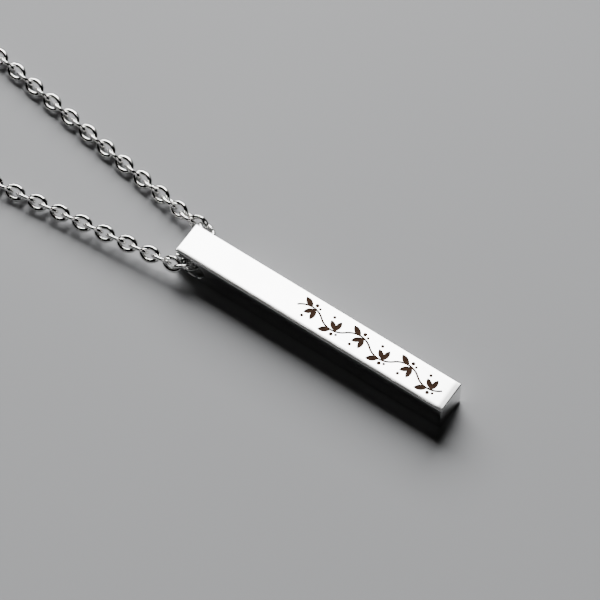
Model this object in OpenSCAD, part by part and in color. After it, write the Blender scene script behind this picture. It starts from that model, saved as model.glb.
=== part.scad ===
// Bar necklace of polished steel: a square bar with a hole across one end, threaded on a fine
// cable chain that lies in a closed loop on a flat surface. The origin is on that surface,
// under the middle of the hole. The bar runs along -Y and the chain's loop lies towards +Y.

/* [Bar] */
// Length of the bar
bar_l = 43.5; // [38:0.5:50]
// Width and height of the bar's square section
bar_w = 5; // [5:0.05:5.2]
// Radius of the bar's polished edges
edge_r = 0.16; // [0.08:0.02:0.3]
// Diameter of the hole across the bar
hole_d = 3.8; // [3.8:0.05:4]
// Distance from the middle of the hole to the bar's end
hole_inset = 2.75; // [2.6:0.05:2.85]
// Chamfer round each mouth of the hole
hole_chamfer = 0.12; // [0.06:0.02:0.2]

/* [Engraving] */
// Depth of the engraved vine
carve_depth = 0.1; // [0.05:0.01:0.2]
// Distance from the bar's free end to the start of the vine
vine_margin = 1.6; // [1:0.1:4]
// Length along the bar of one bow of the vine's stem
bow_l = 3.9; // [3:0.05:4]
// Bows of the stem, which curve to either side by turns
bows = 6; // [4:1:6]
// Height of a bow
bow_h = 0.75; // [0.4:0.05:0.8]
// Width of the stem
stem_w = 0.28; // [0.12:0.01:0.3]
// Length of the long leaves
leaf_l = 1.9; // [1.4:0.1:2]
// Greatest width of the long leaves
leaf_w = 0.85; // [0.5:0.05:0.9]
// Diameter of the berries
berry_d = 0.56; // [0.3:0.02:0.6]

/* [Chain] */
// Diameter of the links' wire
wire_d = 0.54; // [0.46:0.01:0.54]
// Outer width of a link
link_w = 2.2; // [2.2:0.02:2.24]
// Distance from one link to the next along the strands
pitch = 1.8; // [1.79:0.01:1.8]
// Play between two links that hook into each other
play = 0.12; // [0.11:0.01:0.14]
// Links of the near side, from beside the bar to the end ring
near_links = 118; // [100:2:118]
// Links of the far side, from beside the bar to the clasp's ring
far_links = 117; // [99:2:117]

/* [Loop] */
// Angle between each strand and the middle line of the loop
strand_angle = 7.64; // [7:0.02:8]
// Turn of the loop about the hole, clockwise from above
loop_turn = 2.07; // [1.8:0.01:2.3]
// Straight length of each strand
strand_l = 43; // [30:1:60]
// Greatest angle to which the strands spread
spread_angle = 40; // [34:1:44]
// Length over which the near strand comes down to the surface
near_fall = 26; // [18:1:30]
// Length over which the far strand comes down to the surface
far_fall = 13; // [10:1:20]

/* [Clasp] */
// Diameter of the clasp's stock
clasp_wire = 1.3; // [1.1:0.05:1.3]
// Inner width of the clasp's hook
hook_w = 2.6; // [2.6:0.1:3]
// Inner length of the clasp's hook
hook_l = 4.6; // [4:0.1:6]
// Diameter of the wire of the clasp's eye
eye_wire = 0.8; // [0.6:0.05:0.8]
// Inner diameter of the clasp's eye
eye_d = 1.7; // [1.6:0.05:2]
// Diameter of the wire of the jump rings
ring_wire = 0.6; // [0.5:0.02:0.6]
// Outer diameter of the jump rings
ring_d = 4; // [4:0.1:4.4]
// Play between the clasp and its rings, at both ends together
clasp_play = 0.2; // [0.16:0.02:0.3]

/* [Hidden] */
$fn = 48;
// How far one cut or joined shape runs past the other
OVER = 0.02;

// The vine lies on the bar's upper face, a little off its middle line
VINE_X = 0.1;
// Angle by which the stem's bows run past their ends, so that they join
BOW_OVER = 1;
bow_r = (bow_l * bow_l / 4 + bow_h * bow_h) / (2 * bow_h);
bow_angle = asin(bow_l / 2 / bow_r);
vine_start = hole_inset - bar_l + vine_margin;
// What grows on each bow, from the bow's middle and with its bulge towards +X.
// Columns: place along the bar, place across it, angle from the bar's length, size
LEAVES = [
    [0.75, 1.15, 32, 1],
    [0.05, 0.02, -42, 0.9],
    [-0.66, -0.22, -93, 0.9]
];
// Columns: place along the bar, place across it, size
BERRIES = [
    [-0.42, 1.28, 1],
    [-1.05, 1.02, 0.72],
    [0.55, -1.12, 0.85]
];

// Links lie on the surface leaning half-way over, by turns to either side, where the strands aren't
// twisted. The rings follow on, and the clasp crosses both where the far side's links are odd in number.
lean = 45;
function resting_lean(k) = k % 2 == 0 ? lean : -lean;
link_l = pitch + play;
link_r = (link_w - wire_d) / 2;
link_rest = link_r * sin(lean) + wire_d / 2;
ring_r = (ring_d - ring_wire) / 2;
ring_rest = ring_r * sin(lean) + ring_wire / 2;
// The clasp hangs in the rings at their height, and leans until its side touches the surface
hook_r = (hook_w + clasp_wire) / 2;
eye_r = (eye_d + eye_wire) / 2;
neck_gap = 0.3;
neck_d = 1.3 * eye_wire;
lever_d = 1.7;
clasp_lean = asin((ring_rest - clasp_wire / 2) / hook_r);

// Lengths that the pieces take up along the chain
near_l = near_links * pitch;
far_l = far_links * pitch;
ring_span = ring_d - 2 * ring_wire - play;
clasp_span = hook_l + clasp_wire + neck_gap + eye_wire + eye_d - clasp_play;

// Each side of the loop is a straight strand, a spreading arc and half of a round back.
// The strands' base points are beside the bar's end, and the chain's first hooks are past them.
STRAND_X = 3.62;
STRAND_Y = 2.6;
NEAR_LEAD = 0.68;
FAR_LEAD = 2.1;
NEAR_Z = 2.58;
FAR_Z = 1.7;
half_l = (NEAR_LEAD + near_l + FAR_LEAD + far_l + clasp_span) / 2 + ring_span;

// The spreading arc's radius is the one that closes a loop of this length
function radians(a) = a * PI / 180;
function degrees(a) = a * 180 / PI;
back_turn = radians(spread_angle + 90) / cos(spread_angle);
spread_x = STRAND_X + strand_l * sin(strand_angle);
spread_y = STRAND_Y + strand_l * cos(strand_angle);
spread_cos = cos(strand_angle) - cos(spread_angle);
spread_r = (half_l - strand_l - back_turn * spread_x)
    / (radians(spread_angle - strand_angle) + back_turn * spread_cos);
spread_l = spread_r * radians(spread_angle - strand_angle);
back_r = (spread_x + spread_r * spread_cos) / cos(spread_angle);
back_y = spread_y + spread_r * (sin(spread_angle) - sin(strand_angle)) + back_r * sin(spread_angle);

function strand_point(s) = [STRAND_X + s * sin(strand_angle), STRAND_Y + s * cos(strand_angle)];
function spread_point(t) = [
    spread_x + spread_r * (cos(strand_angle) - cos(t)),
    spread_y + spread_r * (sin(t) - sin(strand_angle))
];
function back_point(t) = [back_r * cos(t), back_y + back_r * sin(t)];
// A point of the loop's +X side at a length s along it, before the loop is turned
function side_point(s) =
    s < strand_l ? strand_point(s)
    : s < strand_l + spread_l ? spread_point(strand_angle + degrees((s - strand_l) / spread_r))
    : back_point(degrees((s - strand_l - spread_l) / back_r) - spread_angle);
function turned(p) = [
    p.x * cos(loop_turn) + p.y * sin(loop_turn),
    p.y * cos(loop_turn) - p.x * sin(loop_turn)
];

// Both strands are twisted, so that by turns their links lie flatter and stand steeper. The twist
// is already there where the near strand starts, builds up along the far one, and is let out again.
NEAR_TWIST = 18;
FAR_TWIST = 24;
TWIST_UP = 12;
TWIST_DOWN = 45;
TWIST_END = 90;
function twist(s, most) = most * min(1, max(0, (TWIST_END - s) / TWIST_DOWN));
function near_twist(s) = twist(s, NEAR_TWIST);
function far_twist(s) = twist(s, FAR_TWIST) * min(1, s / TWIST_UP);
function near_lean(k) = resting_lean(k) + near_twist((k + 0.5) * pitch);
function far_lean(k) = resting_lean(k) + far_twist((k + 0.5) * pitch);

// The chain comes down from the bar until its steeper links touch the surface, and rises to the
// ring at its other end. Its height follows the twist a little late, because links are straight-sided.
RISE = 8;
TWIST_LAG = 0.45;
function height(s, start, fall, side_l, twist) =
    let (rest = link_r * sin(lean + twist) + wire_d / 2)
        rest + max(0, 1 - s / fall) * (start - rest)
        + (ring_rest - link_rest) * min(1, max(0, 1 - (side_l - s) / RISE));
function near_point(s) =
    let (p = side_point(NEAR_LEAD + s), q = turned([-p.x, p.y]))
        [q.x, q.y, height(s, NEAR_Z, near_fall, near_l, near_twist(s - TWIST_LAG))];
function far_point(s) =
    let (q = turned(side_point(FAR_LEAD + s)))
        [q.x, q.y, height(s, FAR_Z, far_fall, far_l, far_twist(s - TWIST_LAG))];

// The chain's way through the bar, from the near strand to the far one.
// Columns: x, y, height, and the lean of the link that starts there
near_start = near_point(0);
THREAD = [
    [near_start.x, near_start.y, near_start.z, 43],
    [-3.49, 1.77, 2.96, 123],
    [-2.56, 0.48, 3.16, 25],
    [-1.02, -0.17, 3.06, 114],
    [0.73, -0.13, 2.71, 31],
    [2.35, 0.38, 2.41, 122],
    [3.76, 1.42, 2.07, 37],
    [4.31, 2.83, 1.83, 129]
];
// The link of the thread with which the far half of the chain begins
FAR_FROM = 4;

// Round wire bent to an arc about Z
module wire_arc(r, d, from = 0, turn = 360) {
    rotate([0, 0, from])
        rotate_extrude(angle = turn)
            translate([r, 0])
                circle(d = d);
}

// A flat oval of round wire along X, with its inner length and its ends' radius
module oval(inner_l, r, d) {
    side = inner_l + d - 2 * r;
    for (end = [-1, 1])
        translate([end * side / 2, 0, 0])
            wire_arc(r, d, from = -90 * end, turn = 180);
    for (y = [-r, r])
        translate([-side / 2, y, 0])
            rotate([0, 90, 0])
                cylinder(d = d, h = side);
}

// Puts a piece that lies along X between two points, leaning over about its own length
module between(a, b, lean) {
    d = b - a;
    translate((a + b) / 2)
        rotate([lean, -asin(d.z / norm(d)), atan2(d.y, d.x)])
            children();
}

module chain_link(a, b, lean) {
    between(a, b, lean)
        oval(link_l, link_r, wire_d);
}

module thread_link(i) {
    a = THREAD[i];
    b = i + 1 < len(THREAD) ? THREAD[i + 1] : far_point(0);
    chain_link([a.x, a.y, a.z], [b.x, b.y, b.z], a[3]);
}

// A plate in the XY plane with round corners
module rounded_plate(x, y, h) {
    linear_extrude(h, center = true) {
        square([x - 2 * edge_r, y], center = true);
        square([x, y - 2 * edge_r], center = true);
        for (i = [-1, 1], j = [-1, 1])
            translate([i * (x / 2 - edge_r), j * (y / 2 - edge_r)])
                circle(edge_r);
    }
}

// A square bar along Y with all its edges rounded
module rounded_bar() {
    intersection() {
        rounded_plate(bar_w, bar_l, bar_w);
        rotate([90, 0, 0])
            rounded_plate(bar_w, bar_w, bar_l);
        rotate([0, 90, 0])
            rounded_plate(bar_w, bar_l, bar_w);
    }
}

// A hole along X with a chamfer at each mouth
module cross_hole() {
    rotate([0, 90, 0])
        cylinder(d = hole_d, h = bar_w + 2 * OVER, center = true);
    for (end = [-1, 1])
        translate([end * (bar_w / 2 - hole_chamfer), 0, 0])
            rotate([0, 90 * end, 0])
                cylinder(d1 = hole_d, d2 = hole_d + 2 * (hole_chamfer + OVER), h = hole_chamfer + OVER);
}

// A leaf along X, where two round curves meet in a point at each end
module leaf(size) {
    l = leaf_l * size;
    w = leaf_w * size;
    r = (l * l + w * w) / (4 * w);
    intersection_for(side = [-1, 1])
        translate([0, side * (r - w / 2), 0])
            cylinder(r = r, h = carve_depth + OVER);
}

// One bow of the stem along X, bulging towards +Y, with what grows on it
module vine_bow() {
    translate([0, bow_h - bow_r, 0])
        rotate([0, 0, 90 - bow_angle - BOW_OVER])
            rotate_extrude(angle = 2 * (bow_angle + BOW_OVER))
                translate([bow_r - stem_w / 2, 0])
                    square([stem_w, carve_depth + OVER]);
    for (row = LEAVES)
        translate([row[0], row[1], 0])
            rotate([0, 0, row[2]])
                leaf(row[3]);
    for (row = BERRIES)
        translate([row[0], row[1], 0])
            cylinder(d = berry_d * row[2], h = carve_depth + OVER);
}

module vine() {
    for (i = [0 : bows - 1])
        translate([VINE_X, vine_start + (i + 0.5) * bow_l, bar_w - carve_depth])
            rotate([0, 0, 90])
                mirror([0, i % 2, 0])
                    vine_bow();
}

module bar() {
    color("gainsboro")
        difference() {
            translate([0, hole_inset - bar_l / 2, bar_w / 2])
                rounded_bar();
            translate([0, 0, bar_w / 2])
                cross_hole();
            vine();
        }
}

module chain_near() {
    color("silver") {
        for (k = [0 : near_links - 1])
            chain_link(near_point(k * pitch), near_point((k + 1) * pitch), near_lean(k));
        for (i = [0 : FAR_FROM - 1])
            thread_link(i);
    }
}

module chain_far() {
    color("silver") {
        for (k = [0 : far_links - 1])
            chain_link(far_point(k * pitch), far_point((k + 1) * pitch), far_lean(k));
        for (i = [FAR_FROM : len(THREAD) - 1])
            thread_link(i);
    }
}

module jump_ring(a, b, lean) {
    color("silver")
        between(a, b, lean)
            wire_arc(ring_r, ring_wire);
}

module end_ring() {
    jump_ring(near_point(near_l), near_point(near_l + ring_span), resting_lean(near_links));
}

module clasp_ring() {
    jump_ring(far_point(far_l), far_point(far_l + ring_span), resting_lean(far_links));
}

// A closed hook with a thumb lever on its side and an eye on a short neck, along X
module clasp() {
    eye_x = (clasp_span + clasp_play - eye_d) / 2;
    hook_x = (clasp_span + clasp_play - hook_l) / 2;
    neck_start = hook_x - hook_l / 2 - clasp_wire / 2;
    color("silver")
        between(far_point(far_l + ring_span), near_point(near_l + ring_span), clasp_lean) {
            translate([hook_x, 0, 0])
                oval(hook_l, hook_r, clasp_wire);
            translate([hook_x, hook_r + clasp_wire / 2, 0])
                sphere(d = lever_d);
            translate([-eye_x, 0, 0])
                wire_arc(eye_r, eye_wire);
            translate([neck_start, 0, 0])
                rotate([0, -90, 0])
                    cylinder(d = neck_d, h = (clasp_wire + eye_wire) / 2 + neck_gap);
        }
}

bar();
chain_near();
chain_far();
end_ring();
clasp_ring();
clasp();
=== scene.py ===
"""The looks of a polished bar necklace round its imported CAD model, and the stage that it is shown on."""

import math

import bpy
from mathutils import Matrix, Vector


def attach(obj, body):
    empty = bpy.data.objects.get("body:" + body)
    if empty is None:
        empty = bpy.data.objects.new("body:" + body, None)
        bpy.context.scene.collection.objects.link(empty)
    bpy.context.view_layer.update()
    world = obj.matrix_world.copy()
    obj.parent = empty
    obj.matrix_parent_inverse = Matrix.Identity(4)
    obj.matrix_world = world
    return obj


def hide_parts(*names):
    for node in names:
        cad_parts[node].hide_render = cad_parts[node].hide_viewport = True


bl_info = {
    "name": "Bar Necklace",
    "version": (1, 0, 0),
    "blender": (4, 5, 0),
    "location": "3D View > Sidebar > Necklace",
    "description": "Makes a polished bar necklace with its cable chain, and the stage it is shown on",
    "category": "Add Mesh",
}

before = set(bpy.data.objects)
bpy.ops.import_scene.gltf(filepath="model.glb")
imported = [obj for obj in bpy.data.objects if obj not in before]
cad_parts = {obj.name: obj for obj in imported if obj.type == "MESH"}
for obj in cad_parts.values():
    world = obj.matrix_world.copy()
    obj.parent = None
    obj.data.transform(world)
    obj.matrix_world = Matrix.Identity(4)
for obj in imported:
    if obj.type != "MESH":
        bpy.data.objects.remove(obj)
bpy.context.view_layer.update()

# The frame is in metres
MM = 0.001

# How the chain lies, as the part's source has it. Lengths are in metres, leans and twists in degrees.
# On each side a straight strand starts beside the bar's end, an arc spreads, and a round back closes
# the loop, which is turned a little as a whole.
STRAND_X, STRAND_Y = 3.62 * MM, 2.6 * MM
STRAND_L = 43 * MM
STRAND_ANGLE = math.radians(7.64)
SPREAD_ANGLE = math.radians(40)
LOOP_TURN = math.radians(2.07)
# The way along the strand to each side's first link, the height of its start, and the way down from it
NEAR_LEAD, FAR_LEAD = 0.68 * MM, 2.1 * MM
NEAR_Z, FAR_Z = 2.58 * MM, 1.7 * MM
NEAR_FALL, FAR_FALL = 26 * MM, 13 * MM
# The way over which the last links rise to their ring
RISE = 8 * MM
# Links lean by turns to either side, and each side is twisted besides. The far side's twist comes in
# over the first of these ways, both let out over the second, which ends at the third, and the heights
# lag behind the twist by the fourth.
LEAN = 45
NEAR_TWIST, FAR_TWIST = 18, 24
TWIST_UP, TWIST_DOWN, TWIST_END, TWIST_LAG = 12 * MM, 45 * MM, 90 * MM, 0.45 * MM
# The chain's way through the bar. Columns: x, y and height in mm, and the lean of the link that
# starts there.
THREAD = (
    (-3.49, 1.77, 2.96, 123),
    (-2.56, 0.48, 3.16, 25),
    (-1.02, -0.17, 3.06, 114),
    (0.73, -0.13, 2.71, 31),
    (2.35, 0.38, 2.41, 122),
    (3.76, 1.42, 2.07, 37),
    (4.31, 2.83, 1.83, 129),
)
FIRST_THREAD_LEAN = 43
# The link of the thread with which the far half of the chain begins
FAR_FROM = 4

# Lengths of the clasp and its rings that their sizes don't give: the space between hook and eye, the
# play that both rings have in the clasp, and the cut in a ring
NECK_GAP = 0.3 * MM
CLASP_PLAY = 0.2 * MM
RING_SLIT = 0.07 * MM

# Where the camera stands: the middle of its view on the floor, and its azimuth and elevation
VIEW_AT = Vector((2.99, -14.13, 0)) * MM
VIEW_AZIMUTH, VIEW_ELEVATION = math.radians(-55.44), math.radians(61.55)


class ChainSizes(bpy.types.PropertyGroup):
    """Sizes of the links"""
    wire: bpy.props.FloatProperty(
        name="Wire", description="Diameter of the links' wire",
        default=0.54 * MM, unit="LENGTH", precision=5)
    width: bpy.props.FloatProperty(
        name="Link Width", description="Outer width of a link",
        default=2.2 * MM, unit="LENGTH", precision=5)
    pitch: bpy.props.FloatProperty(
        name="Pitch", description="Distance from one link to the next",
        default=1.8 * MM, unit="LENGTH", precision=5)
    play: bpy.props.FloatProperty(
        name="Play", description="Gap between two links that hook into each other",
        default=0.12 * MM, unit="LENGTH", precision=5)
    near_links: bpy.props.IntProperty(
        name="Near Links", description="Links from beside the bar to the end ring", default=118)
    far_links: bpy.props.IntProperty(
        name="Far Links", description="Links from beside the bar to the clasp's ring", default=117)


class ClaspSizes(bpy.types.PropertyGroup):
    """Sizes of the clasp and its rings"""
    ring: bpy.props.FloatProperty(
        name="Ring", description="Outer diameter of the jump rings",
        default=4 * MM, unit="LENGTH", precision=5)
    ring_wire: bpy.props.FloatProperty(
        name="Ring Wire", description="Diameter of the jump rings' wire",
        default=0.6 * MM, unit="LENGTH", precision=5)
    stock: bpy.props.FloatProperty(
        name="Hook Stock", description="Thickness of the clasp's hook",
        default=1.3 * MM, unit="LENGTH", precision=5)
    hook_width: bpy.props.FloatProperty(
        name="Hook Width", description="Inner width of the clasp's hook",
        default=2.6 * MM, unit="LENGTH", precision=5)
    hook_length: bpy.props.FloatProperty(
        name="Hook Length", description="Inner length of the clasp's hook",
        default=4.6 * MM, unit="LENGTH", precision=5)
    eye: bpy.props.FloatProperty(
        name="Eye", description="Inner diameter of the clasp's eye",
        default=1.7 * MM, unit="LENGTH", precision=5)
    eye_wire: bpy.props.FloatProperty(
        name="Eye Wire", description="Diameter of the wire of the clasp's eye",
        default=0.8 * MM, unit="LENGTH", precision=5)


class SteelLooks(bpy.types.PropertyGroup):
    """Colours of the steel"""
    bar_colour: bpy.props.FloatVectorProperty(
        name="Bar Steel", description="Colour of the bar's polished steel",
        default=(0.80, 0.80, 0.79), size=3, subtype="COLOR", min=0, max=1)
    chain_colour: bpy.props.FloatVectorProperty(
        name="Chain Steel", description="Colour of the chain's polished steel",
        default=(0.74, 0.735, 0.72), size=3, subtype="COLOR", min=0, max=1)
    burn_colour: bpy.props.FloatVectorProperty(
        name="Engraving", description="Colour of the burnt floor of the engraving",
        default=(0.030, 0.017, 0.011), size=3, subtype="COLOR", min=0, max=1)


class StageLooks(bpy.types.PropertyGroup):
    """Floor, camera and lights"""
    floor_colour: bpy.props.FloatVectorProperty(
        name="Floor", description="Colour of the pale floor",
        default=(0.29, 0.293, 0.30), size=3, subtype="COLOR", min=0, max=1)
    distance: bpy.props.FloatProperty(
        name="Camera Distance", description="Distance of the camera from the middle of its view",
        default=0.5469, unit="LENGTH")
    lens: bpy.props.FloatProperty(
        name="Lens", description="Focal length of the camera", default=240, unit="CAMERA")
    key_power: bpy.props.FloatProperty(
        name="Key Light", description="Power of the softbox that the bar's upper face mirrors",
        default=400, unit="POWER")
    fill_power: bpy.props.FloatProperty(
        name="Fill Light", description="Power of the softbox over the camera, which lights the chain",
        default=5, unit="POWER")
    overhead_power: bpy.props.FloatProperty(
        name="Overhead Light", description="Power of the wide softbox that lights the bar alone",
        default=25, unit="POWER")


# The chain's path ------------------------------------------------------------------------------

def resting_lean(k):
    """The lean of the k-th piece of a side, by turns to either side."""
    return LEAN if k % 2 == 0 else -LEAN


def near_twist(s):
    """The near side's twist at a length s along it."""
    return NEAR_TWIST * min(1, max(0, (TWIST_END - s) / TWIST_DOWN))


def far_twist(s):
    """The far side's twist at a length s along it."""
    return FAR_TWIST * min(1, max(0, (TWIST_END - s) / TWIST_DOWN), s / TWIST_UP)


class ChainPath:
    """The middle line of the chain, with a near side towards -X and a far side towards +X."""

    def __init__(self, chain, clasp):
        leant = math.sin(math.radians(LEAN))
        self.wire, self.pitch = chain.wire, chain.pitch
        self.link_r = (chain.width - chain.wire) / 2
        self.link_rest = self.link_r * leant + chain.wire / 2
        self.ring_rest = (clasp.ring - clasp.ring_wire) / 2 * leant + clasp.ring_wire / 2
        self.near_l = chain.near_links * chain.pitch
        self.far_l = chain.far_links * chain.pitch
        self.ring_span = clasp.ring - 2 * clasp.ring_wire - chain.play
        self.clasp_inner = clasp.hook_length + clasp.stock + NECK_GAP + clasp.eye_wire + clasp.eye
        clasp_span = self.clasp_inner - CLASP_PLAY
        # Each side is half the loop long. From that come the radii of the spreading arc and the back.
        half_loop = (NEAR_LEAD + self.near_l + FAR_LEAD + self.far_l + clasp_span) / 2 + self.ring_span
        back_turn = (SPREAD_ANGLE + math.pi / 2) / math.cos(SPREAD_ANGLE)
        spread_cos = math.cos(STRAND_ANGLE) - math.cos(SPREAD_ANGLE)
        spread_sin = math.sin(SPREAD_ANGLE) - math.sin(STRAND_ANGLE)
        self.spread_x = STRAND_X + STRAND_L * math.sin(STRAND_ANGLE)
        self.spread_y = STRAND_Y + STRAND_L * math.cos(STRAND_ANGLE)
        self.spread_r = (half_loop - STRAND_L - back_turn * self.spread_x) / (
            SPREAD_ANGLE - STRAND_ANGLE + back_turn * spread_cos)
        self.spread_l = self.spread_r * (SPREAD_ANGLE - STRAND_ANGLE)
        self.back_r = (self.spread_x + self.spread_r * spread_cos) / math.cos(SPREAD_ANGLE)
        self.back_y = (self.spread_y + self.spread_r * spread_sin
                       + self.back_r * math.sin(SPREAD_ANGLE))

    def side(self, s):
        """A point of the +X side at a length s along it, before the loop is turned."""
        if s < STRAND_L:
            return STRAND_X + s * math.sin(STRAND_ANGLE), STRAND_Y + s * math.cos(STRAND_ANGLE)
        if s < STRAND_L + self.spread_l:
            t = STRAND_ANGLE + (s - STRAND_L) / self.spread_r
            return (self.spread_x + self.spread_r * (math.cos(STRAND_ANGLE) - math.cos(t)),
                    self.spread_y + self.spread_r * (math.sin(t) - math.sin(STRAND_ANGLE)))
        t = (s - STRAND_L - self.spread_l) / self.back_r - SPREAD_ANGLE
        return self.back_r * math.cos(t), self.back_y + self.back_r * math.sin(t)

    def height(self, s, start, fall, side_l, twist):
        """How high the middle line is: it comes down to rest, and rises again to the ring."""
        rest = self.link_r * math.sin(math.radians(LEAN + twist)) + self.wire / 2
        down = max(0, 1 - s / fall) * (start - rest)
        up = (self.ring_rest - self.link_rest) * min(1, max(0, 1 - (side_l - s) / RISE))
        return rest + down + up

    def turned(self, x, y, z):
        """A point of the loop after the loop's turn."""
        c, s = math.cos(LOOP_TURN), math.sin(LOOP_TURN)
        return Vector((x * c + y * s, y * c - x * s, z))

    def near(self, s):
        """The point of the near side at a length s from its first link's start."""
        x, y = self.side(NEAR_LEAD + s)
        twist = near_twist(s - TWIST_LAG)
        return self.turned(-x, y, self.height(s, NEAR_Z, NEAR_FALL, self.near_l, twist))

    def far(self, s):
        """The point of the far side at a length s from its first link's start."""
        x, y = self.side(FAR_LEAD + s)
        twist = far_twist(s - TWIST_LAG)
        return self.turned(x, y, self.height(s, FAR_Z, FAR_FALL, self.far_l, twist))

    def side_links(self, point, twist, count):
        """The ends and lean of each link of a side, from the side's own points and twist."""
        for k in range(count):
            lean = resting_lean(k) + twist((k + 0.5) * self.pitch)
            yield point(k * self.pitch), point((k + 1) * self.pitch), lean

    def thread_links(self):
        """The ends and lean of the links that pass through the bar."""
        points = [self.near(0)] + [Vector(row[:3]) * MM for row in THREAD] + [self.far(0)]
        leans = [FIRST_THREAD_LEAN] + [row[3] for row in THREAD]
        return list(zip(points, points[1:], leans))


def between(a, b, lean):
    """The place of a piece made along X at the origin, set between two points and leant over."""
    d = b - a
    return (Matrix.Translation((a + b) / 2)
            @ Matrix.Rotation(math.atan2(d.y, d.x), 4, "Z")
            @ Matrix.Rotation(-math.asin(d.z / d.length), 4, "Y")
            @ Matrix.Rotation(math.radians(lean), 4, "X"))


# Modelling -------------------------------------------------------------------------------------

# Points of a wire that are closer than this share of its thickness are one
MERGE = 0.02

# How many sides a link's wire has, and in how many steps each of the link's ends and sides is bent
LINK_WIRE_SIDES, LINK_STEPS = 6, 4
# The radius of a link's round ends, as a share of its half width
END_ROUND = 0.75
# A link is pressed flat a little: its wire gets wider and thinner, to these shares, and stands out by
# a length, so that its inner side stays in its place
PRESSED_WIDE, PRESSED_THIN = 1.12, 0.96
PRESSED_OUT = 0.06 * MM

# The same for the rings and the clasp's eye, and for the clasp's stock and each end of its hook
RING_WIRE_SIDES, RING_STEPS, EYE_STEPS = 12, 40, 28
CLASP_SIDES, HOOK_STEPS = 16, 12
# What is left of the hook's thickness at each step round its nose
NOSE_TAPER = 0.98
# The way back along the gate, with a groove where the nose ends and a step at the pivot, and along the
# neck, with two grooves. Columns: the way on in mm, and how many times as thick the stock is after it.
GATE_WAY = ((0.10, 1), (0.03, 0.84), (0.05, 1), (0.03, 1 / 0.84), (0.35, 1), (0.80, 1),
            (0.35, 1), (0.05, 1.14), (0.10, 1 / 0.895))
NECK_WAY = ((0.60, 1), (0.06, 0.86), (0.06, 1), (0.06, 1.16), (0.10, 1), (0.06, 0.86), (0.35, 1))
# The neck's radius, as a share of the thickness of the eye's wire
NECK_R = 0.65
# The thumb knob's diameter. Then, as shares of it, the stem's radius and length, the cap's width and
# height, and how far the cap stands off the gate, and as a share of the stock the stem's place.
KNOB_D = 1.7 * MM
STEM_R, STEM_L = 0.24, 0.5
CAP_WIDE, CAP_HIGH, CAP_OFF = 0.92, 0.46, 0.27
STEM_OFF = 0.38
# The rivet's radius, the rise of both its heads together, and how far their edges are rounded. Its
# place is in shares of the hook's radius, back from the gate's end and out from the middle.
RIVET_R, RIVET_RISE, RIVET_ROUND = 0.36 * MM, 0.16 * MM, 0.07 * MM
RIVET_BACK, RIVET_OUT = 0.68, 0.73
# The sides of the stem and the rivet, and of the cap round and up
PIN_SIDES, CAP_SIDES, CAP_RINGS = 20, 24, 12
# Edges sharper than this are rounded or stay sharp in the shading
SHARP = math.radians(40)


def clear_selection():
    """Leaves edit mode and deselects every object."""
    if bpy.context.object and bpy.context.object.mode != "OBJECT":
        bpy.ops.object.mode_set(mode="OBJECT")
    bpy.ops.object.select_all(action="DESELECT")


def make_active(obj):
    """Selects one object alone and makes it the active one."""
    clear_selection()
    obj.select_set(True)
    bpy.context.view_layer.objects.active = obj


def join_pieces(parts):
    """Joins objects into the first one."""
    clear_selection()
    for part in parts:
        part.select_set(True)
    bpy.context.view_layer.objects.active = parts[0]
    bpy.ops.object.join()
    return parts[0]


def hand_over(obj, name, material, slot, *nodes):
    """Gives a finished piece its name and steel, and lets it stand for its CAD nodes."""
    obj.name = obj.data.name = name
    obj.data.materials.clear()
    obj.data.materials.append(material)
    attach(obj, "root")
    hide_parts(*nodes)


def wire_section(radius, place, sides):
    """Starts a wire: its round section, open, across X, in a new object in edit mode."""
    clear_selection()
    bpy.ops.mesh.primitive_circle_add(vertices=sides, radius=radius, fill_type="NOTHING")
    obj = bpy.context.object
    bpy.ops.object.mode_set(mode="EDIT")
    bpy.ops.mesh.select_all(action="SELECT")
    bpy.ops.transform.rotate(value=math.pi / 2, orient_axis="Y", center_override=(0, 0, 0))
    bpy.ops.transform.translate(value=place)
    return obj


def bend(turn, centre, steps):
    """Bends a wire on about an upright axis, anticlockwise seen from above."""
    bpy.ops.mesh.spin(steps=steps, angle=turn, center=centre, axis=(0, 0, -1))


def run_on(dx):
    """Carries a wire straight on along X."""
    bpy.ops.mesh.extrude_region_move(TRANSFORM_OT_translate={"value": (dx, 0, 0)})


def run_back(way, x, y):
    """Carries a wire on towards -X along a way of several thicknesses, and gives the X it ends at."""
    for step, size in way:
        x -= step * MM
        run_on(-step * MM)
        if size != 1:
            bpy.ops.transform.resize(value=(size,) * 3, center_override=(x, y, 0))
    return x


def cap_ends():
    """Closes a wire's two open ends."""
    bpy.ops.mesh.select_all(action="DESELECT")
    bpy.ops.mesh.select_non_manifold(extend=False)
    bpy.ops.mesh.fill_holes(sides=0)


def finish_wire(obj, thickness):
    """Joins a wire's last section to its first where they meet, and turns its faces outwards."""
    bpy.ops.mesh.select_all(action="SELECT")
    bpy.ops.mesh.remove_doubles(threshold=MERGE * thickness)
    bpy.ops.mesh.normals_make_consistent(inside=False)
    bpy.ops.object.mode_set(mode="OBJECT")
    bpy.ops.object.shade_smooth()
    return obj


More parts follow.
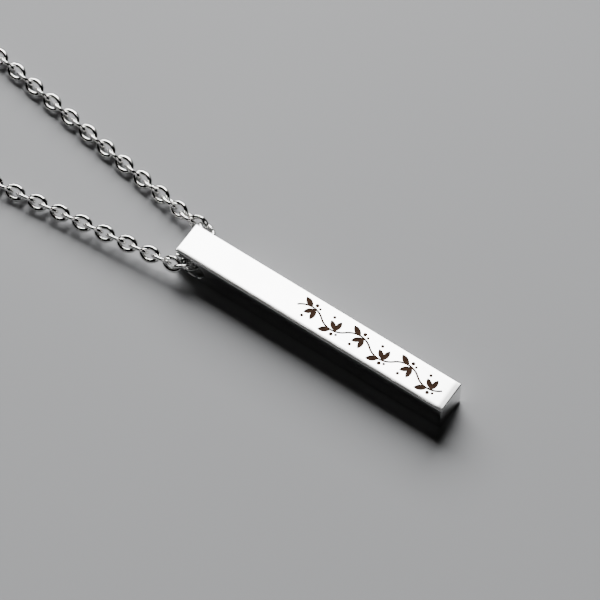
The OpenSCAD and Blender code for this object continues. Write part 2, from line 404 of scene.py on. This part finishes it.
def bent_link(chain):
    """One link along X: wire bent to an oval, with its soldered joint in the middle of one side."""
    half_w = (chain.width - chain.wire) / 2
    half_l = (chain.pitch + chain.play + chain.wire) / 2
    # The oval is two small arcs at the ends, met by two large ones at the sides
    end_r = END_ROUND * half_w
    end_x = half_l - end_r
    side_r = (end_x ** 2 + half_w ** 2 - end_r ** 2) / (2 * (half_w - end_r))
    side_y = side_r - half_w
    turn = math.asin(end_x / (side_r - end_r))
    end_turn = math.pi - 2 * turn
    # A wire of few sides is as thick on average as the round one
    slice_turn = 2 * math.pi / LINK_WIRE_SIDES
    section = chain.wire / 2 * math.sqrt(slice_turn / math.sin(slice_turn))
    middle = (0, -half_w - PRESSED_OUT, 0)
    obj = wire_section(section, middle, LINK_WIRE_SIDES)
    bpy.ops.transform.resize(value=(1, PRESSED_WIDE, PRESSED_THIN), center_override=middle)
    bend(turn, (0, side_y, 0), LINK_STEPS // 2)
    bend(end_turn, (end_x, 0, 0), LINK_STEPS)
    bend(2 * turn, (0, -side_y, 0), LINK_STEPS)
    bend(end_turn, (-end_x, 0, 0), LINK_STEPS)
    bend(turn, (0, side_y, 0), LINK_STEPS // 2)
    finish_wire(obj, chain.wire)
    joint = obj.data.attributes.new("solder_joint", "FLOAT", "POINT")
    for vertex, value in zip(obj.data.vertices, joint.data):
        value.value = vertex.co.y > 0 and abs(vertex.co.x) < MERGE * chain.wire
    return obj


def lay_links(link, places):
    """Copies the link to each place, each copy with its own mesh, and joins them all."""
    links = []
    for a, b, lean in places:
        copy = link.copy()
        copy.data = link.data.copy()
        copy.data.transform(between(a, b, lean))
        bpy.context.collection.objects.link(copy)
        links.append(copy)
    return join_pieces(links)


def jump_ring(sizes):
    """A ring of round wire in the XY plane, not quite closed at +Y, with its cut ends capped."""
    r = (sizes.ring - sizes.ring_wire) / 2
    slit = RING_SLIT / r
    obj = wire_section(sizes.ring_wire / 2, (0, r, 0), RING_WIRE_SIDES)
    bpy.ops.transform.rotate(value=slit / 2, orient_axis="Z", center_override=(0, 0, 0))
    bend(2 * math.pi - slit, (0, 0, 0), RING_STEPS)
    cap_ends()
    return finish_wire(obj, sizes.ring_wire)


def clasp_hook(stock, r, left, right):
    """The closed hook along X, from one side round its nose, back along the gate and round its heel."""
    hook = wire_section(stock / 2, (right, -r, 0), CLASP_SIDES)
    # The nose tapers round its bend, down to the tip that the gate meets
    for step in range(1, HOOK_STEPS + 1):
        bend(math.pi / HOOK_STEPS, (right, 0, 0), 1)
        angle = math.pi * (step / HOOK_STEPS - 0.5)
        bpy.ops.transform.resize(value=(NOSE_TAPER,) * 3, center_override=(
            right + r * math.cos(angle), r * math.sin(angle), 0))
    run_on(left - run_back(GATE_WAY, right, r))
    bend(math.pi, (left, 0, 0), HOOK_STEPS)
    run_on(right - left)
    return finish_wire(hook, stock)


def thumb_knob(stock, x, r):
    """The knob on the gate, as two objects: a short stem under a round cap."""
    clear_selection()
    bpy.ops.mesh.primitive_cylinder_add(
        vertices=PIN_SIDES, radius=STEM_R * KNOB_D, depth=STEM_L * KNOB_D,
        location=(x, r + STEM_OFF * stock, 0), rotation=(math.pi / 2, 0, 0))
    stem = bpy.context.object
    bpy.ops.mesh.primitive_uv_sphere_add(
        segments=CAP_SIDES, ring_count=CAP_RINGS, radius=KNOB_D / 2,
        location=(x, r + stock / 2 + CAP_OFF * KNOB_D, 0))
    cap = bpy.context.object
    bpy.ops.object.mode_set(mode="EDIT")
    bpy.ops.transform.resize(value=(CAP_WIDE, CAP_HIGH, CAP_WIDE), center_override=cap.location)
    bpy.ops.object.mode_set(mode="OBJECT")
    return stem, cap


def gate_rivet(stock, r, left):
    """The rivet that the gate turns on, with its two domed heads."""
    clear_selection()
    bpy.ops.mesh.primitive_cylinder_add(
        vertices=PIN_SIDES, radius=RIVET_R, depth=stock + RIVET_RISE,
        location=(left - RIVET_BACK * r, RIVET_OUT * r, 0))
    rivet = bpy.context.object
    make_active(rivet)
    bevel = rivet.modifiers.new("Bevel", "BEVEL")
    bevel.width, bevel.segments, bevel.angle_limit = RIVET_ROUND, 3, SHARP
    bpy.ops.object.modifier_apply(modifier=bevel.name)
    return rivet


def lobster_clasp(sizes, hook_x, eye_x):
    """The closed clasp along X: a hook with its gate, thumb knob and rivet, a neck and an eye."""
    stock, r = sizes.stock, (sizes.hook_width + sizes.stock) / 2
    side = sizes.hook_length + stock - 2 * r
    right, left = hook_x + side / 2, hook_x - side / 2
    hook = clasp_hook(stock, r, left, right)
    stem, cap = thumb_knob(stock, hook_x, r)
    rivet = gate_rivet(stock, r, left)
    neck = wire_section(NECK_R * sizes.eye_wire, (left - r, 0, 0), CLASP_SIDES)
    run_back(NECK_WAY, left - r, 0)
    cap_ends()
    finish_wire(neck, sizes.eye_wire)
    eye_r = (sizes.eye + sizes.eye_wire) / 2
    eye = wire_section(sizes.eye_wire / 2, (eye_x, -eye_r, 0), RING_WIRE_SIDES)
    bend(2 * math.pi, (eye_x, 0, 0), EYE_STEPS)
    finish_wire(eye, sizes.eye_wire)
    for part in (stem, cap, rivet):
        make_active(part)
        bpy.ops.object.transform_apply()
        bpy.ops.object.shade_smooth_by_angle(angle=SHARP)
    return join_pieces([hook, stem, cap, rivet, neck, eye])


# Materials -------------------------------------------------------------------------------------

# The bounds of the engraving's floor and walls, just under the upper face and well inside its edges:
# to either side of the middle, along the bar and in height
ENGRAVED_X = 2.1 * MM
ENGRAVED_Y = -40.0 * MM, -12.0 * MM
ENGRAVED_Z = 4.8 * MM, 4.975 * MM
# The bar's bore runs along X over the origin: its radius, a little over it to take in the wall, its
# height, and how far the plain wall reaches to either side
BORE_R, BORE_SKIN, BORE_Z, BORE_X = 1.9 * MM, 0.03 * MM, 2.5 * MM, 2.37 * MM
# Polishing rolls the faces off towards the bar's edges. Columns, for x, y and z: the bar's middle,
# where the flat ends and the way over which the roll steepens in mm, and the drop per square of it,
# per metre.
ROLL_OFF = ((0, 1.70, 1, 45), (-19, 20.63, 0.52, 28), (2.5, 2.3, 1, 60))

# Polishing marks: how fine their clouds and hairlines are, per metre, how much the hairlines add to the
# clouds' haze, how much of their depth each steel takes, and that depth on the bar
BAR_HAZE, CHAIN_HAZE = 260, 700
HAIRLINE_SCALE = (9000, 260, 9000)
HAIRLINE_HAZE = 0.5
BAR_HAIRLINES, CHAIN_HAIRLINES = 1.0, 0.6
HAIRLINE_DEPTH = 0.0006 * MM
# The values of the haze's noise between which the colour and the roughness change, and the same of the
# hairlines' noise, of the burn's grain and of the joint's mark
HAZE_TINTS, HAZE_DULLS = (0.4, 0.9), (0.3, 0.9)
HAIRLINES_AT, GRAINS_AT, JOINT_AT = (0.58, 0.78), (0.35, 0.7), (0.75, 0.95)
# Roughness, from clear to hazy where there are two
BAR_ROUGH, CHAIN_ROUGH = (0.035, 0.11), (0.08, 0.2)
BORE_ROUGH, BURN_ROUGH, SOLDER_ROUGH = 0.42, 0.75, 0.4
# Shades of the steel, and of the lighter grains of the burn, as shares of their colour. The bore's share
# is painted shade: its wall is painted darker to stand for the shade inside the bore.
BAR_HAZY, CHAIN_HAZY, BORE_PAINTED_SHADE, SOLDER_SHADE, BURN_LIGHT = 0.93, 0.88, 0.3, 0.55, 2.1
# The burn's grain and the drill's rings: how fine they are, per metre, and how deep
GRAIN_SCALE, GRAIN_DEPTH = 5200, 0.012 * MM
DRILL_SCALE, DRILL_DEPTH = 9000, 0.01 * MM
# The floor's faint clouds: how fine they are, per metre, their shade as a share of the floor's colour,
# and the values of their noise between which the roughness changes from the first to the second
FLOOR_CLOUDS, FLOOR_SHADE = 9, 0.96
FLOOR_DULLS, FLOOR_ROUGH = (0.2, 0.8), (0.42, 0.5)


def add_node(tree, kind, **settings):
    """Adds a node with its settings."""
    node = tree.nodes.new(kind)
    for name, value in settings.items():
        setattr(node, name, value)
    return node


def set_input(tree, socket, value):
    """Gives an input a number, a colour or a link from another node."""
    if isinstance(value, bpy.types.NodeSocket):
        tree.links.new(value, socket)
    else:
        socket.default_value = value


def math_node(tree, operation, *values):
    """A math node, whose inputs are numbers or sockets."""
    node = add_node(tree, "ShaderNodeMath", operation=operation)
    for socket, value in zip(node.inputs, values):
        set_input(tree, socket, value)
    return node.outputs[0]


def total(tree, first, *values):
    """Adds up any number of values."""
    for value in values:
        first = math_node(tree, "ADD", first, value)
    return first


def product(tree, first, *values):
    """Multiplies any number of values."""
    for value in values:
        first = math_node(tree, "MULTIPLY", first, value)
    return first


def within(tree, value, low, high):
    """1 where a value is between two limits, and 0 elsewhere."""
    return product(tree, math_node(tree, "GREATER_THAN", value, low),
                   math_node(tree, "LESS_THAN", value, high))


def between_values(tree, value, low, high, out_low=0.0, out_high=1.0):
    """Maps a value from one range to another, smoothly and held at both ends."""
    node = add_node(tree, "ShaderNodeMapRange", interpolation_type="SMOOTHSTEP")
    tree.links.new(value, node.inputs["Value"])
    numbers = {"From Min": low, "From Max": high, "To Min": out_low, "To Max": out_high}
    for name, number in numbers.items():
        node.inputs[name].default_value = number
    return node.outputs["Result"]


def noise(tree, place, **inputs):
    """A noise over a place, with its scale and detail."""
    node = add_node(tree, "ShaderNodeTexNoise")
    for name, value in inputs.items():
        set_input(tree, node.inputs[name], value)
    tree.links.new(place, node.inputs["Vector"])
    return node.outputs["Fac"]


def mix(tree, factor, a, b, kind):
    """Mixes two values or colours by a factor socket."""
    node = add_node(tree, "ShaderNodeMix", data_type=kind)
    tree.links.new(factor, node.inputs["Factor"])
    first, second = [s for s in node.inputs if s.enabled and s.name in ("A", "B")]
    set_input(tree, first, a)
    set_input(tree, second, b)
    return next(s for s in node.outputs if s.enabled)


def shade(colour, share=1.0):
    """A share of a colour, opaque."""
    return (*[c * share for c in colour], 1)


def polish_group():
    """Marks that polishing leaves: a faint cloudy haze, and fine hairlines along Y."""
    group = bpy.data.node_groups.new("Polishing marks", "ShaderNodeTree")
    face = group.interface
    face.new_socket("Place", in_out="INPUT", socket_type="NodeSocketVector")
    for name, default in (("Haze Scale", BAR_HAZE), ("Hairline Depth", BAR_HAIRLINES)):
        face.new_socket(name, in_out="INPUT", socket_type="NodeSocketFloat").default_value = default
    face.new_socket("Haze", in_out="OUTPUT", socket_type="NodeSocketFloat")
    face.new_socket("Height", in_out="OUTPUT", socket_type="NodeSocketFloat")
    given = group.nodes.new("NodeGroupInput").outputs
    result = group.nodes.new("NodeGroupOutput").inputs
    cloud = noise(group, given["Place"], Scale=given["Haze Scale"], Detail=5)
    stretch = add_node(group, "ShaderNodeMapping")
    stretch.inputs["Scale"].default_value = HAIRLINE_SCALE
    group.links.new(given["Place"], stretch.inputs["Vector"])
    hairs = noise(group, stretch.outputs["Vector"], Scale=1, Detail=3)
    hairline = between_values(group, hairs, *HAIRLINES_AT)
    haze = total(group, cloud, product(group, hairline, HAIRLINE_HAZE))
    height = product(group, hairline, -1.0, given["Hairline Depth"])
    group.links.new(haze, result["Haze"])
    group.links.new(height, result["Height"])
    return group


def new_material(name):
    """A material with its node tree and its main shader."""
    material = bpy.data.materials.new(name)
    material.use_nodes = True
    tree = material.node_tree
    return material, tree, tree.nodes["Principled BSDF"]


def place_polish(tree, haze_scale, depth):
    """Puts the polishing marks into a material, and gives their outputs and the place on the object."""
    place = add_node(tree, "ShaderNodeTexCoord").outputs["Object"]
    marks = add_node(tree, "ShaderNodeGroup", node_tree=bpy.data.node_groups["Polishing marks"])
    tree.links.new(place, marks.inputs["Place"])
    marks.inputs["Haze Scale"].default_value = haze_scale
    marks.inputs["Hairline Depth"].default_value = depth
    return marks.outputs, place


def bump_from(tree, bsdf, height, strength, distance):
    """Lets a height shape the surface in the shading."""
    bump = add_node(tree, "ShaderNodeBump")
    bump.inputs["Strength"].default_value = strength
    bump.inputs["Distance"].default_value = distance
    tree.links.new(height, bump.inputs["Height"])
    tree.links.new(bump.outputs["Normal"], bsdf.inputs["Normal"])


def rolled_off(tree, places):
    """The height that polishing leaves on the bar's faces, which drops towards their edges."""
    drops = []
    for place, (middle, flat, way, rate) in zip(places, ROLL_OFF):
        off = math_node(tree, "ABSOLUTE", math_node(tree, "SUBTRACT", place, middle * MM))
        past_flat = math_node(tree, "MAXIMUM", math_node(tree, "SUBTRACT", off, flat * MM), 0.0)
        steepens = math_node(tree, "MINIMUM", past_flat, way * MM)
        double = math_node(tree, "SUBTRACT", product(tree, past_flat, 2.0), steepens)
        drops.append(product(tree, steepens, double, -rate))
    return total(tree, *drops)


def bar_steel(looks):
    """Mirror polish on the bar, a burnt brown floor to its engraving, and a rougher bore with drill rings
    whose wall is painted darker as painted shade.
    """
    material, tree, bsdf = new_material("Mirror polished steel")
    marks, place = place_polish(tree, BAR_HAZE, BAR_HAIRLINES)
    split = add_node(tree, "ShaderNodeSeparateXYZ")
    tree.links.new(place, split.inputs["Vector"])
    x, y, z = split.outputs
    across = math_node(tree, "ABSOLUTE", x)
    burnt = product(tree, within(tree, z, *ENGRAVED_Z), math_node(tree, "LESS_THAN", across, ENGRAVED_X),
                    within(tree, y, *ENGRAVED_Y))
    grain = noise(tree, place, Scale=GRAIN_SCALE, Detail=4)
    burn = mix(tree, between_values(tree, grain, *GRAINS_AT),
               shade(looks.burn_colour), shade(looks.burn_colour, BURN_LIGHT), "RGBA")
    # The bore's wall is duller than the polished faces, and its colour is painted darker: painted shade
    # for the shade inside the bore
    up = math_node(tree, "SUBTRACT", z, BORE_Z)
    reach = math_node(tree, "SQRT", total(tree, product(tree, y, y), product(tree, up, up)))
    bore_dull_and_painted_shade = product(tree, math_node(tree, "LESS_THAN", reach, BORE_R + BORE_SKIN),
                    math_node(tree, "LESS_THAN", across, BORE_X))
    metal = mix(tree, between_values(tree, marks["Haze"], *HAZE_TINTS),
                shade(looks.bar_colour), shade(looks.bar_colour, BAR_HAZY), "RGBA")
    # Painted shade: the bore's wall is painted darker, standing for the shade inside the hole
    metal = mix(tree, bore_dull_and_painted_shade, metal, shade(looks.bar_colour, BORE_PAINTED_SHADE), "RGBA")
    tree.links.new(mix(tree, burnt, metal, burn, "RGBA"), bsdf.inputs["Base Color"])
    bsdf.inputs["Metallic"].default_value = 1
    polish = between_values(tree, marks["Haze"], *HAZE_DULLS, *BAR_ROUGH)
    polish = mix(tree, bore_dull_and_painted_shade, polish, BORE_ROUGH, "FLOAT")
    tree.links.new(mix(tree, burnt, polish, BURN_ROUGH, "FLOAT"), bsdf.inputs["Roughness"])
    hair = product(tree, marks["Height"], HAIRLINE_DEPTH)
    grit = product(tree, grain, burnt, GRAIN_DEPTH)
    # The drill leaves rings round the bore's wall
    drill = add_node(tree, "ShaderNodeTexNoise", noise_dimensions="1D")
    drill.inputs["Scale"].default_value = DRILL_SCALE
    tree.links.new(x, drill.inputs["W"])
    rings = product(tree, drill.outputs["Fac"], bore_dull_and_painted_shade, DRILL_DEPTH)
    height = total(tree, rolled_off(tree, (x, y, z)), hair, grit, rings)
    bump_from(tree, bsdf, height, strength=1.0, distance=1.0)
    return material


def chain_steel(looks):
    """Tumbled polish on the wire of the chain, dulled at each link's soldered joint."""
    material, tree, bsdf = new_material("Chain steel")
    marks, _ = place_polish(tree, CHAIN_HAZE, CHAIN_HAIRLINES)
    joint = add_node(tree, "ShaderNodeAttribute", attribute_name="solder_joint")
    soldered = between_values(tree, joint.outputs["Fac"], *JOINT_AT)
    metal = mix(tree, between_values(tree, marks["Haze"], *HAZE_TINTS),
                shade(looks.chain_colour), shade(looks.chain_colour, CHAIN_HAZY), "RGBA")
    metal = mix(tree, soldered, metal, shade(looks.chain_colour, SOLDER_SHADE), "RGBA")
    tree.links.new(metal, bsdf.inputs["Base Color"])
    bsdf.inputs["Metallic"].default_value = 1
    polish = between_values(tree, marks["Haze"], *HAZE_DULLS, *CHAIN_ROUGH)
    tree.links.new(mix(tree, soldered, polish, SOLDER_ROUGH, "FLOAT"), bsdf.inputs["Roughness"])
    bump_from(tree, bsdf, marks["Height"], strength=0.3, distance=0.001 * MM)
    return material


def floor_paint(looks):
    """A pale satin floor with a faint unevenness."""
    material, tree, bsdf = new_material("Pale floor")
    place = add_node(tree, "ShaderNodeTexCoord").outputs["Object"]
    cloud = noise(tree, place, Scale=FLOOR_CLOUDS)
    paint = mix(tree, cloud, shade(looks.floor_colour), shade(looks.floor_colour, FLOOR_SHADE), "RGBA")
    tree.links.new(paint, bsdf.inputs["Base Color"])
    tree.links.new(between_values(tree, cloud, *FLOOR_DULLS, *FLOOR_ROUGH), bsdf.inputs["Roughness"])
    bsdf.inputs["Specular IOR Level"].default_value = 0.25
    return material


def steel(name, make):
    """The named steel, made once."""
    if "Polishing marks" not in bpy.data.node_groups:
        polish_group()
    return bpy.data.materials.get(name) or make(bpy.context.scene.necklace_steel)


# The stage -------------------------------------------------------------------------------------

# The floor's side and the camera's clipping in metres, and the width of its sensor in mm
FLOOR_SIDE = 8
CLIP_START, CLIP_END = 0.01, 20
SENSOR = 36
# The softboxes. Each has a place, a width and length, and the shares of its width and of its length
# over which its light fades in. The bar's upper face mirrors the edge of the first, which is past it.
KEY_BOX = (1.675, 1.45, 1.3), (3.05, 3.1), ((0.09, 0.134), (0.083, 0.142))
FILL_BOX = (-0.95, -0.75, 1.3), (1.1, 0.9), ((0, 0.2), (0, 0.2))
OVERHEAD_BOX = (0, 0, 1), (8, 8), ((0, 0.02), (0, 0.02))
# The studio's light near the horizon and overhead, and the heights between which it changes
AIR_LIGHT, AIR_HEIGHTS = (0.10, 0.05), (0.02, 0.5)


def softbox(name, power, place, size, fades):
    """A rectangular lamp that shines straight down, and fades in from one side and one end."""
    bpy.ops.object.light_add(type="AREA", location=place)
    lamp = bpy.context.object
    lamp.name = name
    lamp.data.shape = "RECTANGLE"
    lamp.data.size, lamp.data.size_y = size
    lamp.data.energy = power
    lamp.data.use_nodes = True
    tree = lamp.data.node_tree
    split = add_node(tree, "ShaderNodeSeparateXYZ")
    tree.links.new(add_node(tree, "ShaderNodeNewGeometry").outputs["Parametric"], split.inputs["Vector"])
    light = product(tree, between_values(tree, split.outputs["X"], *fades[0]),
                    between_values(tree, split.outputs["Y"], *fades[1]))
    tree.links.new(light, tree.nodes["Emission"].inputs["Strength"])
    return lamp


def light_only(lamp, objects):
    """Lets a lamp light these objects alone."""
    lit = bpy.data.collections.new("Lit by " + lamp.name)
    for obj in objects:
        lit.objects.link(obj)
    lamp.light_linking.receiver_collection = lit


def studio_air():
    """The studio round the stage: pale near the floor's horizon, and dark overhead."""
    world = bpy.data.worlds.new("Studio")
    world.use_nodes = True
    tree = world.node_tree
    split = add_node(tree, "ShaderNodeSeparateXYZ")
    tree.links.new(add_node(tree, "ShaderNodeTexCoord").outputs["Generated"], split.inputs["Vector"])
    light = between_values(tree, split.outputs["Z"], *AIR_HEIGHTS, *AIR_LIGHT)
    tree.links.new(light, tree.nodes["Background"].inputs["Strength"])
    return world


# Operators -------------------------------------------------------------------------------------

class NECKLACE_OT_bar(bpy.types.Operator):
    """Polishes the bar and burns in its engraving"""
    bl_idname = "necklace.bar"
    bl_label = "Bar"

    def execute(self, context):
        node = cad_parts["bar"]
        node.data.materials.clear()
        node.data.materials.append(steel("Mirror polished steel", bar_steel))
        return {"FINISHED"}


class NECKLACE_OT_chain(bpy.types.Operator):
    """Bends one link and lays both halves of the cable chain with it"""
    bl_idname = "necklace.chain"
    bl_label = "Cable Chain"

    def execute(self, context):
        sizes = context.scene.necklace_chain
        path = ChainPath(sizes, context.scene.necklace_clasp)
        link = bent_link(sizes)
        thread = path.thread_links()
        metal = steel("Chain steel", chain_steel)
        near_side = path.side_links(path.near, near_twist, sizes.near_links)
        far_side = path.side_links(path.far, far_twist, sizes.far_links)
        near = lay_links(link, thread[:FAR_FROM] + list(near_side))
        far = lay_links(link, thread[FAR_FROM:] + list(far_side))
        bpy.data.objects.remove(link)
        hand_over(near, "near_chain", metal, "chain_steel", "chain_near")
        hand_over(far, "far_chain", metal, "chain_steel", "chain_far")
        return {"FINISHED"}


class NECKLACE_OT_clasp(bpy.types.Operator):
    """Finishes the clasp and its two jump rings"""
    bl_idname = "necklace.clasp"
    bl_label = "Clasp and Rings"

    def execute(self, context):
        chain, sizes = context.scene.necklace_chain, context.scene.necklace_clasp
        path = ChainPath(chain, sizes)
        metal = steel("Chain steel", chain_steel)
        near, near_end = path.near(path.near_l), path.near(path.near_l + path.ring_span)
        far, far_end = path.far(path.far_l), path.far(path.far_l + path.ring_span)
        # The rings lean on by turns from the links before them
        for a, b, count, name, node in (
                (near, near_end, chain.near_links, "end_jump_ring", "end_ring"),
                (far, far_end, chain.far_links, "clasp_jump_ring", "clasp_ring")):
            ring = jump_ring(sizes)
            ring.data.transform(between(a, b, resting_lean(count)))
            hand_over(ring, name, metal, "chain_steel", node)
        clasp = lobster_clasp(sizes, (path.clasp_inner - sizes.hook_length) / 2,
                              -(path.clasp_inner - sizes.eye) / 2)
        # The clasp leans until its side touches the floor
        hook_r = (sizes.hook_width + sizes.stock) / 2
        lean = math.degrees(math.asin((path.ring_rest - sizes.stock / 2) / hook_r))
        clasp.data.transform(between(far_end, near_end, lean))
        hand_over(clasp, "lobster_clasp", metal, "chain_steel", "clasp")
        return {"FINISHED"}


class NECKLACE_OT_stage(bpy.types.Operator):
    """Sets the pale floor, the softboxes and the camera"""
    bl_idname = "necklace.stage"
    bl_label = "Stage"

    def execute(self, context):
        looks = context.scene.necklace_stage
        clear_selection()
        bpy.ops.mesh.primitive_plane_add(size=FLOOR_SIDE)
        floor = context.object
        floor.name = "floor"
        floor.data.materials.append(floor_paint(looks))
        softbox("key_softbox", looks.key_power, *KEY_BOX)
        # The fill would make the bar's dark side pale by way of the floor, so it lights the chain alone
        fill = softbox("fill_softbox", looks.fill_power, *FILL_BOX)
        light_only(fill, [bpy.data.objects[name] for name in (
            "near_chain", "far_chain", "end_jump_ring", "clasp_jump_ring", "lobster_clasp")])
        # A weak softbox over the whole stage lights the bar alone, so that its faces show from all sides
        overhead = softbox("overhead_softbox", looks.overhead_power, *OVERHEAD_BOX)
        light_only(overhead, [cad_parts["bar"]])
        back = Vector((math.sin(VIEW_AZIMUTH) * math.cos(VIEW_ELEVATION),
                       -math.cos(VIEW_AZIMUTH) * math.cos(VIEW_ELEVATION), math.sin(VIEW_ELEVATION)))
        bpy.ops.object.camera_add(location=VIEW_AT + back * looks.distance,
                                  rotation=back.to_track_quat("Z", "Y").to_euler())
        camera = context.object
        camera.data.lens = looks.lens
        camera.data.sensor_width = SENSOR
        camera.data.clip_start, camera.data.clip_end = CLIP_START, CLIP_END
        context.scene.camera = camera
        context.scene.world = studio_air()
        return {"FINISHED"}


class NECKLACE_PT_panel(bpy.types.Panel):
    """Lists the necklace's sizes, looks and pieces"""
    bl_idname = "NECKLACE_PT_panel"
    bl_label = "Bar Necklace"
    bl_space_type = "VIEW_3D"
    bl_region_type = "UI"
    bl_category = "Necklace"

    def draw(self, context):
        for group in GROUPS:
            owner = getattr(context.scene, group)
            column = self.layout.column()
            for name in owner.bl_rna.properties.keys():
                if name not in ("rna_type", "name"):
                    column.prop(owner, name)
        for operator in OPERATORS:
            self.layout.operator(operator.bl_idname)


GROUPS = {"necklace_chain": ChainSizes, "necklace_clasp": ClaspSizes,
          "necklace_steel": SteelLooks, "necklace_stage": StageLooks}
OPERATORS = (NECKLACE_OT_bar, NECKLACE_OT_chain, NECKLACE_OT_clasp, NECKLACE_OT_stage)


def register():
    for cls in (*GROUPS.values(), *OPERATORS, NECKLACE_PT_panel):
        bpy.utils.register_class(cls)
    for name, cls in GROUPS.items():
        setattr(bpy.types.Scene, name, bpy.props.PointerProperty(type=cls))


def unregister():
    for name in GROUPS:
        delattr(bpy.types.Scene, name)
    for cls in reversed((*GROUPS.values(), *OPERATORS, NECKLACE_PT_panel)):
        bpy.utils.unregister_class(cls)


def main():
    """Makes every piece and the stage."""
    register()
    bpy.ops.necklace.bar()
    bpy.ops.necklace.chain()
    bpy.ops.necklace.clasp()
    bpy.ops.necklace.stage()


if __name__ == "__main__":
    main()
